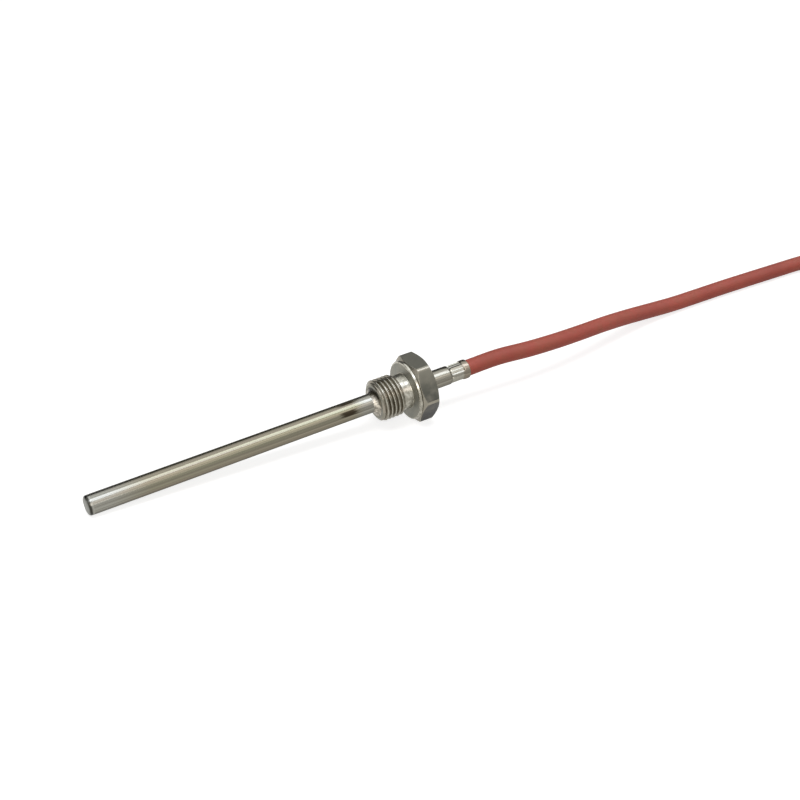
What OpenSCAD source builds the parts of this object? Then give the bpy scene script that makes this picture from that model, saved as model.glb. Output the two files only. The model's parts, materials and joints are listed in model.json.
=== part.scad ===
// Cable-type resistance thermometer: a closed steel sheath in a one-piece threaded hex fitting,
// with a silicone cable crimped into the sheath's rear end. Millimetres, lying as it comes to rest.

/* [Sheath] */
// Length of sheath in front of the thread, with its closed end
stem_l = 92; // [60:1:160]
// Outside diameter of the sheath
sheath_d = 6; // [6:0.1:7]
// Wall of the sheath
sheath_wall = 0.35; // [0.2:0.05:0.35]
// Radius of the closed end's rounded edge
tip_round = 1; // [0.4:0.1:1.4]
// Length of the end plug's full-diameter lip
plug_lip_l = 1.6; // [1.5:0.1:3]
// Length of the end plug's spigot inside the sheath
plug_spigot_l = 2.4; // [1:0.2:4]

/* [Process fitting] */
// Major diameter of the G 1/4 thread
thread_d = 13.157; // [12:0.05:14]
// Thread length from its front to the sealing face, with the undercut
thread_l = 10.8; // [9:0.1:20]
// Diameter of the flat front of the thread
thread_front_d = 10.6; // [9:0.1:11]
// Length of the lead-in cone behind that front
thread_lead_l = 0.8; // [0.4:0.1:2]
// Diameter of the undercut behind the thread
undercut_d = 11.2; // [9:0.1:11.5]
// Width of the undercut
undercut_l = 3; // [1.5:0.1:4]
// How far the sealing collar's rim stays inside the hexagon's flats
collar_inset = 0.05; // [0:0.05:1]
// Thickness of the sealing collar
collar_t = 0.9; // [0.6:0.1:3]
// Width across the hexagon's flats
hex_af = 19; // [19:0.5:24]
// Thickness of the hexagon
hex_t = 6; // [4:0.5:10]
// How far inside the flats the hexagon's end faces stop
hex_face_inset = 0.4; // [0.2:0.1:0.6]
// Slope of the hexagon's chamfers from its end faces
hex_chamfer_angle = 30; // [15:1:35]
// Leg of the weld between the sheath and the thread's front
weld_leg = 1.6; // [0.8:0.1:1.8]

/* [Crimped end] */
// Plain sheath between the hexagon and the crimp
neck_l = 9; // [5:0.5:20]
// Length of the crimp's flats
crimp_l = 4.7; // [3:0.1:10]
// Length of the rim behind the crimp
rim_l = 1.7; // [1.5:0.1:5]
// How far the rim flares out beyond the sheath, on the radius
rim_flare = 0.06; // [0:0.02:0.14]
// How deep the crimp bites, on the radius
crimp_bite = 0.4; // [0.2:0.05:0.5]
// Number of flats round the crimp
crimp_flats = 8; // [6:1:12]
// How far the corners between the flats stand above them
crimp_corner = 0.14; // [0.05:0.01:0.2]
// Length of the slopes at both ends of the crimp
crimp_slope_l = 0.5; // [0.4:0.1:1]

/* [Sensing element] */
// Width of the ceramic chip
chip_w = 2; // [1.8:0.1:2.4]
// Thickness of the ceramic chip
chip_t = 0.6; // [0.4:0.05:0.8]
// Length of the ceramic chip
chip_l = 5; // [3:0.5:8]
// Space between the end plug and the chip
chip_gap = 1; // [0.5:0.1:2]
// Height of the glass drop over the chip's wire ends
glass_h = 0.45; // [0.3:0.05:0.6]
// Length of the glass drop
glass_l = 1.5; // [1:0.1:2.5]
// Diameter of the chip's wires
lead_d = 0.25; // [0.2:0.01:0.3]
// Distance between the chip's wires
lead_pitch = 1; // [0.8:0.05:1.4]
// Length of the chip's wires in front of the splices
lead_l = 6; // [5:0.5:12]
// How far the heat-transfer filling runs past the chip
filler_over = 2; // [1:0.1:3]

/* [Splices and liner] */
// Diameter of a splice tube
splice_d = 1.4; // [1.3:0.05:1.5]
// Length of a splice tube
splice_l = 4; // [3:0.5:8]
// Sleeve wall over a splice
sleeve_wall = 0.2; // [0.1:0.05:0.25]
// How far a sleeve runs past its splice
sleeve_over = 1.5; // [1:0.1:1.8]
// Gap between a splice and its sleeve
sleeve_gap = 0.05; // [0.02:0.01:0.1]
// Wall of the insulating liner
liner_wall = 0.3; // [0.2:0.05:0.35]
// Gap between the liner and the sheath
liner_gap = 0.05; // [0.02:0.01:0.1]

/* [Cable] */
// Room between the cable and the sheath's bore, on the radius
cable_gap = 0.05; // [0.02:0.01:0.15]
// Diameter of an insulated core
core_d = 1.5; // [1.3:0.05:1.55]
// Diameter of a core's conductor
conductor_d = 0.5; // [0.3:0.05:0.55]
// Room between the cores and the jacket's bore
core_gap = 0.05; // [0.02:0.01:0.1]
// Length of jacket inside the sheath in front of the crimp
jacket_in_l = 4; // [2:0.5:10]
// Length of core between the splices' sleeves and the liner's straight run
core_bend_l = 5; // [4:0.5:10]
// Diameter of the sleeve on the jacket's far end
end_sleeve_d = 6.4; // [6:0.1:7]
// Length of the sleeve on the jacket's far end
end_sleeve_l = 10; // [6:1:20]
// Length of a ferrule
ferrule_l = 8; // [6:0.5:12]
// Diameter of a ferrule
ferrule_d = 1.3; // [1.1:0.05:1.5]

/* [Hank] */
// Length of the hank's straight runs
hank_run = 93; // [78:1:104]
// Radius of the inner turn at its folds
hank_fold_r = 15.6; // [15.6:0.1:18]
// Width of the tie's strap
tie_w = 10; // [6:1:16]
// Thickness of the tie's strap
tie_t = 0.8; // [0.5:0.1:1.5]

/* [Hidden] */

$fn = 64;
fine = 32;                      // round parts thinner than 2 mm
wire_sides = 8;
eps = 0.01;                     // cutters reach this far past what they cut

// Stations along the probe, from the closed end
z_spigot_end = plug_lip_l + plug_spigot_l;
z_thread = stem_l;
z_seal = z_thread + thread_l;
z_hex = z_seal + collar_t;
z_neck = z_hex + hex_t;
z_crimp = z_neck + neck_l;
z_rim = z_crimp + crimp_l;
z_end = z_rim + rim_l;

// Radii
sheath_r = sheath_d / 2;
bore_r = sheath_r - sheath_wall;
cable_r = bore_r - cable_gap;
cable_d = 2 * cable_r;
crimp_bore_r = cable_r - crimp_bite;
crimp_flat_r = crimp_bore_r + sheath_wall;
crimp_corner_r = crimp_flat_r + crimp_corner;
rim_r = sheath_r + rim_flare;
rim_bore_r = rim_r - sheath_wall;
collar_r = hex_af / 2 - collar_inset;
hex_face_r = hex_af / 2 - hex_face_inset;
hex_corner_r = hex_af / 2 / cos(30);
hex_chamfer_l = (hex_corner_r - hex_face_r) * tan(hex_chamfer_angle);
flat_start_l = hex_face_inset * tan(hex_chamfer_angle);

// The cores lie in a triangle, each touching the other two
core_ring_r = core_d / sqrt(3) + core_gap;
jacket_bore_r = core_ring_r + core_d / 2 + core_gap;
core_at = [for (a = [90, 210, 330]) core_ring_r * [cos(a), sin(a)]];
liner_r = bore_r - liner_gap;
liner_bore_r = liner_r - liner_wall;

// Stations of the inner pieces
z_chip = z_spigot_end + chip_gap;
z_chip_end = z_chip + chip_l;
z_filler_end = z_chip_end + filler_over;
bond_cover = 0.3;               // glass in front of the wires' ends
z_bond = z_chip_end - glass_l + bond_cover;
bond_x = chip_t / 2 + lead_d / 2;
lead_straight_l = 0.4;          // straight wire out of the filling and into the splices
z_splice = z_chip_end + lead_l;
z_splice_end = z_splice + splice_l;
splice_hold = 1 / 3;            // part of a splice that holds the wires at each end
splice_hold_l = splice_l * splice_hold;
z_core = z_splice_end + sleeve_over;
z_core_straight = z_core + core_bend_l;
z_jacket = z_crimp - crimp_slope_l - jacket_in_l;
splice_r = splice_d / 2;
sleeve_bore_r = splice_r + sleeve_gap;
sleeve_r = sleeve_bore_r + sleeve_wall;
splice_y = sleeve_r + sleeve_gap;
pair_gap = 0.06;                // between two conductors in one splice
pair_x = (conductor_d + pair_gap) / 2;

// It lies on its closed end's edge and on the collar or the hexagon, whichever reaches lower
function lie_on(z, r) =
    let (run = z - tip_round, rise = r - (sheath_r - tip_round))
    atan2(rise, run) - asin(tip_round / norm([run, rise]));
lie = max(lie_on(z_seal, collar_r), lie_on(z_hex + flat_start_l, hex_af / 2));
tip_z = (sheath_r - tip_round) * cos(lie) + tip_round - tip_round * sin(lie);

// Its box reaches from the rounded end to the rim's lower edge
front_reach = (sheath_r - tip_round) * sin(lie) + tip_round - tip_round * cos(lie);
rear_reach = z_end * cos(lie) + rim_r * sin(lie);
tip_x = (front_reach - rear_reach) / 2;
exit_at = [tip_x + z_end * cos(lie), 0, tip_z + z_end * sin(lie)];

// The cable's route: straight out of the sheath, down to the surface and along it to the hank.
// X is measured from the sheath's end, Z from the surface to the cable's underside.
exit_step = 12;
along_probe = [cos(lie), 0, sin(lie)];
cable_way = [
    [24, 0.2, 8.4], [36, 1.4, 7.6], [48, 3.6, 6.5], [60, 6.6, 5], [72, 9.6, 3.1], [84, 12, 1.3],
    [96, 13.4, 0.2], [108, 14.2, 0], [120, 14.8, 0], [132, 15.2, 0], [144, 15.5, 0], [156, 15.8, 0]
];
route = [
    exit_at, exit_at + exit_step * along_probe,
    for (p = cable_way) [exit_at.x + p.x, p.y, cable_r + p.z]
];
route_end = route[len(route) - 1];
route_sides = 10;

// The hank: an outer and an inner turn on the surface, and one turn in the groove on them
strand_rise = cable_d * sin(60);
hank_h = cable_d + strand_rise;
hank_in_r = hank_fold_r - cable_r;
hank_mid_r = hank_fold_r + cable_d;
hank_out_r = hank_mid_r + cable_r;
lead_in_l = 36;                 // straight cable between the route's end and the first turn
hank_x = route_end.x + lead_in_l;   // middle of the folds nearest the probe
far_fold_x = hank_x + hank_run;
hank_y = route_end.y - hank_mid_r;
tie_from_fold = 66;
tie_x = hank_x + tie_from_fold; // middle of the tie

// The tail leaves the inner turn at the far fold and lies in the hank's window, on the tie
tail_gap = 0.2;                 // between the tail's end sleeve and the hank
tail_past_tie = 29;
tail_end_x = tie_x - tail_past_tie;
tail_y = hank_y - hank_in_r + end_sleeve_d / 2 + tail_gap;
tail_z = max(end_sleeve_d / 2, tie_t + cable_r);
sleeve_grip_l = 6;              // jacket inside the end sleeve
sleeve_nose_l = end_sleeve_l - sleeve_grip_l;
nose_room = 0.3;                // between the cores' circle and the sleeve's nose

// Paths of the flying leads from the jacket's end down to the surface, relative to that end
lead_low = core_d / 2 - tail_z;
lead_paths = [
    [[0, 0.9, 0], [-6, 1.2, -0.2], [-12, 2.6, -1.1], [-18, 5, -2.1],
        [-24, 7.6, lead_low], [-30, 9.4, lead_low]],
    [[0, -0.45, 0.8], [-6, -0.3, 0.7], [-12, 0.4, -0.3], [-18, 1.2, -1.6],
        [-24, 2, lead_low], [-31, 2.6, lead_low]],
    [[0, -0.45, -0.8], [-6, -0.9, -1], [-12, -1.4, -1.6], [-18, -1.8, -2.2],
        [-24, -2.1, lead_low], [-30, -2.2, lead_low]]
];
function last(list) = list[len(list) - 1];
function lead_heading(i) =
    let (p = lead_paths[i], d = last(p) - p[len(p) - 2]) d / norm(d);

// Frame of the probe: Z runs along it from the closed end, X points down
module along() {
    translate([tip_x, 0, tip_z]) rotate([0, 90 - lie, 0]) children();
}

module turned(profile) {
    rotate_extrude() polygon(profile);
}

module tube(r_out, r_in, z0, z1, n = $fn) {
    translate([0, 0, z0]) difference() {
        cylinder(r = r_out, h = z1 - z0, $fn = n);
        translate([0, 0, -eps]) cylinder(r = r_in, h = z1 - z0 + 2 * eps, $fn = n);
    }
}

// Direction of a path at its point i, and the ring of a swept tube there
function heading(p, i, first_way, last_way) =
    i == 0 ? first_way : i == len(p) - 1 ? last_way : (p[i + 1] - p[i - 1]) / norm(p[i + 1] - p[i - 1]);
function ring(at, t, r, sides, side_ref) =
    let (s = cross(side_ref, t) / norm(cross(side_ref, t)), u = cross(t, s))
    [for (k = [0 : sides - 1]) let (a = (k + 0.5) * 360 / sides) at + r * (cos(a) * s + sin(a) * u)];

// A round tube along a path, its ends square to the directions first_way and last_way
module swept_tube(p, r, sides, first_way, last_way, side_ref) {
    n = len(p);
    rings = [for (i = [0 : n - 1])
        each ring(p[i], heading(p, i, first_way, last_way), r, sides, side_ref)];
    walls = [for (i = [0 : n - 2], k = [0 : sides - 1])
        let (a = i * sides + k, b = i * sides + (k + 1) % sides)
        each [[a, a + sides, b + sides], [a, b + sides, b]]];
    caps = [[for (k = [0 : sides - 1]) k], [for (k = [sides - 1 : -1 : 0]) (n - 1) * sides + k]];
    polyhedron(rings, concat(walls, caps));
}

// A thin wire inside the probe, and the straight hole for it in what holds it
module inner_wire(p, d) {
    swept_tube(p, d / 2, wire_sides, [0, 0, 1], [0, 0, 1], [1, 0, 0]);
}

module wire_hole(x, y, z0, z1, d) {
    translate([x, y, z0]) cylinder(d = d, h = z1 - z0, $fn = fine);
}

module sheath_tube() {
    color("silver") along() difference() {
        turned([
            [0, plug_lip_l], [sheath_r, plug_lip_l], [sheath_r, z_crimp - crimp_slope_l],
            [crimp_corner_r, z_crimp], [crimp_corner_r, z_rim - crimp_slope_l],
            [rim_r, z_rim], [rim_r, z_end], [0, z_end]
        ]);
        turned([
            [0, plug_lip_l - eps], [bore_r, plug_lip_l - eps], [bore_r, z_crimp - crimp_slope_l],
            [crimp_bore_r, z_crimp], [crimp_bore_r, z_rim - crimp_slope_l],
            [rim_bore_r, z_rim], [rim_bore_r, z_end + eps], [0, z_end + eps]
        ]);
        for (i = [0 : crimp_flats - 1])
            rotate([0, 0, i * 360 / crimp_flats])
                translate([crimp_flat_r, -sheath_r, z_crimp - crimp_slope_l / 2])
                    cube([sheath_r, sheath_d, crimp_l]);
    }
}

module sheath_end_plug() {
    edge = [for (a = [-90 : 15 : 0]) [sheath_r - tip_round, tip_round] + tip_round * [cos(a), sin(a)]];
    color("lightgray") along() turned(concat(
        [[0, 0]], edge,
        [[sheath_r, plug_lip_l], [bore_r, plug_lip_l], [bore_r, z_spigot_end], [0, z_spigot_end]]
    ));
}

module process_fitting() {
    thread_r = thread_d / 2;
    front_r = thread_front_d / 2;
    run_out = thread_r - undercut_d / 2;
    color("silver") along() difference() {
        union() {
            turned([
                [0, z_thread], [front_r, z_thread], [thread_r, z_thread + thread_lead_l],
                [thread_r, z_seal - undercut_l - run_out], [undercut_d / 2, z_seal - undercut_l],
                [undercut_d / 2, z_seal], [collar_r, z_seal], [collar_r, z_hex], [0, z_hex]
            ]);
            intersection() {
                translate([0, 0, z_hex]) rotate([0, 0, 30])
                    cylinder(r = hex_corner_r, h = hex_t, $fn = 6);
                turned([
                    [0, z_hex], [hex_face_r, z_hex], [hex_corner_r, z_hex + hex_chamfer_l],
                    [hex_corner_r, z_neck - hex_chamfer_l], [hex_face_r, z_neck], [0, z_neck]
                ]);
            }
        }
        translate([0, 0, z_thread - eps]) cylinder(r = sheath_r, h = z_neck - z_thread + 2 * eps);
    }
}

module front_weld_bead() {
    hollow = [for (a = [180 : 15 : 270])
        [sheath_r + weld_leg, z_thread - weld_leg] + weld_leg * [cos(a), -sin(a)]];
    color("gray") along() turned(concat([[sheath_r, z_thread]], hollow));
}

module element_chip() {
    color("white") along()
        translate([-chip_t / 2, -chip_w / 2, z_chip]) cube([chip_t, chip_w, chip_l]);
}

module glass_drop() {
    translate([chip_t / 2, -chip_w / 2, z_chip_end - glass_l]) cube([glass_h, chip_w, glass_l]);
}

module element_glass() {
    color("honeydew") along() difference() {
        glass_drop();
        for (side = [-1, 1])
            wire_hole(bond_x, side * lead_pitch / 2, z_bond, z_chip_end + eps, lead_d);
    }
}

// A wire of the chip, from under the glass to inside its splice
module element_lead(side) {
    bond_y = side * lead_pitch / 2;
    color("gainsboro") along() inner_wire([
        [bond_x, bond_y, z_bond], [bond_x, bond_y, z_filler_end + lead_straight_l],
        [0, side * splice_y, z_splice - lead_straight_l], [0, side * splice_y, z_splice + splice_hold_l]
    ], lead_d);
}

module element_lead_a() { element_lead(1); }
module element_lead_b() { element_lead(-1); }

module tip_filler() {
    color("ivory") along() difference() {
        translate([0, 0, z_spigot_end])
            cylinder(r = bore_r, h = z_filler_end - z_spigot_end);
        translate([-chip_t / 2, -chip_w / 2, z_chip]) cube([chip_t, chip_w, chip_l]);
        glass_drop();
        for (side = [-1, 1])
            wire_hole(bond_x, side * lead_pitch / 2, z_chip_end, z_filler_end + eps, lead_d);
    }
}

// A splice tube, closed in the middle between the chip's wire and the conductors
module splice(side, conductors) {
    color("tan") along() difference() {
        translate([0, side * splice_y, z_splice]) cylinder(r = splice_r, h = splice_l, $fn = fine);
        wire_hole(0, side * splice_y, z_splice - eps, z_splice + splice_hold_l, lead_d);
        for (i = conductors) let (e = conductor_end(i))
            wire_hole(e.x, e.y, z_splice_end - splice_hold_l, z_splice_end + eps, conductor_d);
    }
}

module splice_a() { splice(1, [0]); }
module splice_b() { splice(-1, [1, 2]); }

module splice_sleeve(side) {
    color("khaki") along() translate([0, side * splice_y, 0])
        tube(sleeve_r, sleeve_bore_r, z_splice - sleeve_over, z_splice_end + sleeve_over, fine);
}

module splice_sleeve_a() { splice_sleeve(1); }
module splice_sleeve_b() { splice_sleeve(-1); }

module insulating_liner() {
    color("linen") along() tube(liner_r, liner_bore_r, z_filler_end, z_jacket);
}

// Where a core's conductor ends: 0 is white and goes to splice a, 1 and 2 are red and share splice b
function conductor_end(i) =
    i == 0 ? [0, splice_y] : [(i == 1 ? -1 : 1) * pair_x, -splice_y];

module conductor(i) {
    e = conductor_end(i);
    at = core_at[i];
    color("peru") along() inner_wire([
        [e.x, e.y, z_splice_end - splice_hold_l], [e.x, e.y, z_core],
        [at.x, at.y, z_core_straight], [at.x, at.y, z_end]
    ], conductor_d);
}

module conductor_white() { conductor(0); }
module conductor_red_a() { conductor(1); }
module conductor_red_b() { conductor(2); }

module core(i) {
    along() translate([core_at[i].x, core_at[i].y, 0])
        tube(core_d / 2, conductor_d / 2, z_core_straight, z_end, fine);
}

module core_white() { color("white") core(0); }
module core_red_a() { color("red") core(1); }
module core_red_b() { color("red") core(2); }

module cable_entry() {
    color("indianred") along() difference() {
        turned([
            [0, z_jacket], [cable_r, z_jacket], [cable_r, z_crimp - crimp_slope_l],
            [crimp_bore_r, z_crimp], [crimp_bore_r, z_rim - crimp_slope_l],
            [cable_r, z_rim], [cable_r, z_end], [0, z_end]
        ]);
        translate([0, 0, z_jacket - eps])
            cylinder(r = jacket_bore_r, h = z_end - z_jacket + 2 * eps);
    }
}

module cable_run() {
    color("indianred") swept_tube(route, cable_r, route_sides, along_probe, [1, 0, 0], [0, 0, 1]);
}

// The hank's outer shape: two straight runs between two round folds
module hank_ring() {
    for (x = [0, hank_run]) translate([x, 0, 0]) difference() {
        cylinder(r = hank_out_r, h = hank_h);
        translate([0, 0, -eps]) cylinder(r = hank_in_r, h = hank_h + 2 * eps);
        translate([x == 0 ? 0 : -hank_out_r, -hank_out_r, -eps])
            cube([hank_out_r, 2 * hank_out_r, hank_h + 2 * eps]);
    }
    for (y = [-hank_out_r, hank_in_r])
        translate([0, y, 0]) cube([hank_run, hank_out_r - hank_in_r, hank_h]);
}

module tie_strap() {
    translate([tie_x - tie_w / 2, hank_y, 0]) rotate([90, 0, 90]) linear_extrude(tie_w) difference() {
        translate([-hank_out_r, 0]) square([2 * hank_out_r, hank_h]);
        translate([-hank_out_r + tie_t, tie_t])
            square([2 * (hank_out_r - tie_t), hank_h - 2 * tie_t]);
    }
}

module cable_hank() {
    color("indianred") difference() {
        union() {
            translate([hank_x, hank_y, 0]) hank_ring();
            translate(route_end) rotate([0, 90, 0]) cylinder(r = cable_r, h = lead_in_l);
        }
        tie_strap();
    }
}

module hank_tie() {
    color("dimgray") tie_strap();
}

module cable_tail() {
    color("indianred") difference() {
        translate([tail_end_x, tail_y, tail_z]) rotate([0, 90, 0])
            cylinder(r = cable_r, h = far_fold_x + hank_in_r - tail_end_x);
        translate([hank_x, hank_y, 0]) hank_ring();
    }
}

module jacket_end_sleeve() {
    color("darkred") translate([tail_end_x, tail_y, tail_z]) rotate([0, 90, 0]) difference() {
        translate([0, 0, -sleeve_nose_l]) cylinder(d = end_sleeve_d, h = end_sleeve_l);
        cylinder(r = cable_r, h = sleeve_grip_l + eps);
        translate([0, 0, -sleeve_nose_l - eps])
            cylinder(r = jacket_bore_r + nose_room, h = sleeve_nose_l + 2 * eps);
    }
}

module flying_lead(i) {
    p = lead_paths[i];
    translate([tail_end_x, tail_y, tail_z])
        swept_tube(p, core_d / 2, wire_sides, [-1, 0, 0], lead_heading(i), [0, 0, 1]);
}

module ferrule(i) {
    t = lead_heading(i);
    translate([tail_end_x, tail_y, tail_z] + last(lead_paths[i]))
        rotate([0, 90, atan2(t.y, t.x)]) cylinder(d = ferrule_d, h = ferrule_l, $fn = fine);
}

module flying_lead_white() { color("white") flying_lead(0); }
module flying_lead_red_a() { color("red") flying_lead(1); }
module flying_lead_red_b() { color("red") flying_lead(2); }
module ferrule_white() { color("silver") ferrule(0); }
module ferrule_red_a() { color("silver") ferrule(1); }
module ferrule_red_b() { color("silver") ferrule(2); }

sheath_tube();
sheath_end_plug();
process_fitting();
front_weld_bead();
element_chip();
element_glass();
element_lead_a();
element_lead_b();
tip_filler();
splice_a();
splice_b();
splice_sleeve_a();
splice_sleeve_b();
insulating_liner();
conductor_white();
conductor_red_a();
conductor_red_b();
core_white();
core_red_a();
core_red_b();
cable_entry();
cable_run();
cable_hank();
cable_tail();
hank_tie();
jacket_end_sleeve();
flying_lead_white();
flying_lead_red_a();
flying_lead_red_b();
ferrule_white();
ferrule_red_a();
ferrule_red_b();
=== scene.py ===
"""Cable-type resistance thermometer probe on a white floor. Metres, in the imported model's frame."""

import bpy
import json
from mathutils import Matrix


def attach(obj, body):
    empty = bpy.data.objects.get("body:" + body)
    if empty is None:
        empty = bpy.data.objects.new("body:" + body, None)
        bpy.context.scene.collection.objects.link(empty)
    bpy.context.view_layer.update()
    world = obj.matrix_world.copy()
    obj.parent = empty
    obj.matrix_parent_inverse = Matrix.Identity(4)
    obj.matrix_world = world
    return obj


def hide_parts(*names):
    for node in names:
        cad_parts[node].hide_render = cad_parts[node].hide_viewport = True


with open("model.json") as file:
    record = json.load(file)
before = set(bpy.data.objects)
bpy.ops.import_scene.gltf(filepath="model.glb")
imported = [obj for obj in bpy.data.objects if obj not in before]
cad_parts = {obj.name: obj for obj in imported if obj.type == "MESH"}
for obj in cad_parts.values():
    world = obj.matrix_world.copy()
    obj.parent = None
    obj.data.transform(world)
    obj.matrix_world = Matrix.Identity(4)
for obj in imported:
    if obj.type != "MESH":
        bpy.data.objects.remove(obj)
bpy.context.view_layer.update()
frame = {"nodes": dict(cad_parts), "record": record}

import json
import math

import bpy
from mathutils import Matrix, Vector

MM = 0.001
TAU = 2 * math.pi

# Sizes, as in the part's source. A Z is a place along the probe, from its closed end.
SHEATH_R = 3.0 * MM
SHEATH_WALL = 0.35 * MM
TIP_ROUND = 1.0 * MM
PLUG_LIP = 1.6 * MM
Z_SPIGOT_END = 4.0 * MM
Z_THREAD = 92 * MM
THREAD_R = 13.157 / 2 * MM
THREAD_PITCH = 1.337 * MM
THREAD_DEPTH = 0.856 * MM
THREAD_FRONT_R = 5.3 * MM
THREAD_LEAD = 0.8 * MM
UNDERCUT_R = 5.6 * MM
Z_SEAL = 102.8 * MM
Z_UNDERCUT = Z_SEAL - 3.0 * MM
COLLAR_R = 9.45 * MM
Z_HEX = 103.7 * MM
HEX_HALF = 9.5 * MM
HEX_FACE_R = 9.1 * MM
HEX_CORNER_R = 10.75 * MM
HEX_SLOPE = math.tan(math.radians(30))
Z_NECK = 109.7 * MM
WELD_LEG = 1.6 * MM
Z_CRIMP = 118.7 * MM
Z_RIM = 123.4 * MM
Z_END = 125.1 * MM
CRIMP_SLOPE = 0.5 * MM
CRIMP_FLATS = 8
CRIMP_NOTCH = 1.5               # how much deeper the crimp's first edge bites than its flats
NOTCH_L = 0.5 * MM
CRIMP_FLAT_R = 2.55 * MM
CRIMP_CORNER_R = 2.69 * MM
RIDGE_H = 0.20 * MM             # ridges between the crimp's flats
LINE_H = 0.12 * MM              # fainter ridges along the flats' middles
RIDGE_SHARE = 0.08              # and their widths, as shares of a flat
LINE_SHARE = 0.07
RIM_R = 3.06 * MM
STEM_MOUNT_Z = 46 * MM
CABLE_R = 2.6 * MM
CABLE_D = 2 * CABLE_R
CORE_R = 0.75 * MM
END_SLEEVE_R = 3.2 * MM
END_SLEEVE_GRIP = 6 * MM
END_SLEEVE_NOSE = 4 * MM
FERRULE_R = 0.65 * MM
FERRULE_L = 8 * MM
TIE_W = 10 * MM
TIE_T = 0.8 * MM

# The probe's own frame: Z runs from the closed end toward the cable, X points down
mounts = {mount["name"]: mount for mount in frame["record"]["mounts"]}
along = -Vector(mounts["sheath_stem"]["axis"]).normalized()
sideways = Vector((0, 1, 0))
down = sideways.cross(along)
tip = Vector(mounts["sheath_stem"]["pos_m"]) - STEM_MOUNT_Z * along
PROBE = Matrix.Translation(tip) @ Matrix((down, sideways, along)).transposed().to_4x4()


# ---------------------------------------------------------------- camera
camera_data = bpy.data.cameras.new("camera")
camera_data.sensor_width = 36
camera_data.lens = 60.9
camera = bpy.data.objects.new("camera", camera_data)
camera.location = (-0.1418, -0.3079, 0.2219)
camera.rotation_euler = (math.radians(58.89), 0, math.radians(-30.35))
bpy.context.scene.collection.objects.link(camera)
bpy.context.scene.camera = camera


# ---------------------------------------------------------------- material helpers
class Finish:
    """A material built round one Principled shader."""

    def __init__(self, name, color, metallic=0.0, roughness=0.5, **sockets):
        self.material = bpy.data.materials.new(name)
        self.material.use_nodes = True
        self.tree = self.material.node_tree
        self.shader = self.tree.nodes["Principled BSDF"]
        self.shader.inputs["Base Color"].default_value = (*color, 1)
        self.shader.inputs["Metallic"].default_value = metallic
        self.shader.inputs["Roughness"].default_value = roughness
        for socket, value in sockets.items():
            self.shader.inputs[socket.replace("_", " ")].default_value = value
        self.material.diffuse_color = (*color, 1)

    def node(self, kind, **settings):
        made = self.tree.nodes.new("ShaderNode" + kind)
        for key, value in settings.items():
            setattr(made, key, value)
        return made

    def join(self, source, target):
        self.tree.links.new(source, target)

    def place(self, kind="UV", scale=(1, 1, 1)):
        """Coordinates: UV, or Object, which is in metres."""
        mapping = self.node("Mapping")
        mapping.inputs["Scale"].default_value = scale
        self.join(self.node("TexCoord").outputs[kind], mapping.inputs["Vector"])
        return mapping.outputs["Vector"]

    def part(self, vector, axis):
        split = self.node("SeparateXYZ")
        self.join(vector, split.inputs["Vector"])
        return split.outputs[axis]

    def noise(self, vector, detail=3.0, roughness=0.55):
        made = self.node("TexNoise")
        made.inputs["Scale"].default_value = 1.0
        made.inputs["Detail"].default_value = detail
        made.inputs["Roughness"].default_value = roughness
        self.join(vector, made.inputs["Vector"])
        return made.outputs["Fac"]

    def ramp(self, value, stops):
        made = self.node("ValToRGB")
        elements = made.color_ramp.elements
        while len(elements) < len(stops):
            elements.new(0.5)
        for element, (place, color) in zip(elements, stops):
            element.position = place
            element.color = (*color, 1) if isinstance(color, tuple) else (color, color, color, 1)
        self.join(value, made.inputs["Fac"])
        return made.outputs["Color"]

    def band(self, value, low, high, soft):
        """1 between low and high, fading to 0 over soft on both sides. The value runs from 0 to 1."""
        return self.ramp(value, [
            (low - soft, 0.0), (low + soft, 1.0), (high - soft, 1.0), (high + soft, 0.0),
        ])

    def span(self, value, low, high, low_in=0.0, high_in=1.0):
        made = self.node("MapRange")
        for socket, number in (
            ("From Min", low_in), ("From Max", high_in), ("To Min", low), ("To Max", high),
        ):
            made.inputs[socket].default_value = number
        self.join(value, made.inputs["Value"])
        return made.outputs["Result"]

    def math(self, operation, first, second):
        made = self.node("Math", operation=operation)
        for socket, value in zip(made.inputs, (first, second)):
            if isinstance(value, (int, float)):
                socket.default_value = value
            else:
                self.join(value, socket)
        return made.outputs["Value"]

    def mix(self, factor, first, second, blend="MIX"):
        made = self.node("Mix", data_type="RGBA", blend_type=blend)
        for socket, value in ((0, factor), (6, first), (7, second)):
            if isinstance(value, (int, float)):
                made.inputs[socket].default_value = value
            elif isinstance(value, tuple):
                made.inputs[socket].default_value = (*value, 1)
            else:
                self.join(value, made.inputs[socket])
        return made.outputs[2]

    def bump(self, height, distance, strength=1.0):
        made = self.node("Bump")
        made.inputs["Strength"].default_value = strength
        made.inputs["Distance"].default_value = distance
        self.join(height, made.inputs["Height"])
        previous = self.shader.inputs["Normal"].links
        if previous:
            self.join(previous[0].from_socket, made.inputs["Normal"])
        self.join(made.outputs["Normal"], self.shader.inputs["Normal"])

    def color(self, value):
        self.join(value, self.shader.inputs["Base Color"])

    def roughness(self, value):
        self.join(value, self.shader.inputs["Roughness"])


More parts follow.
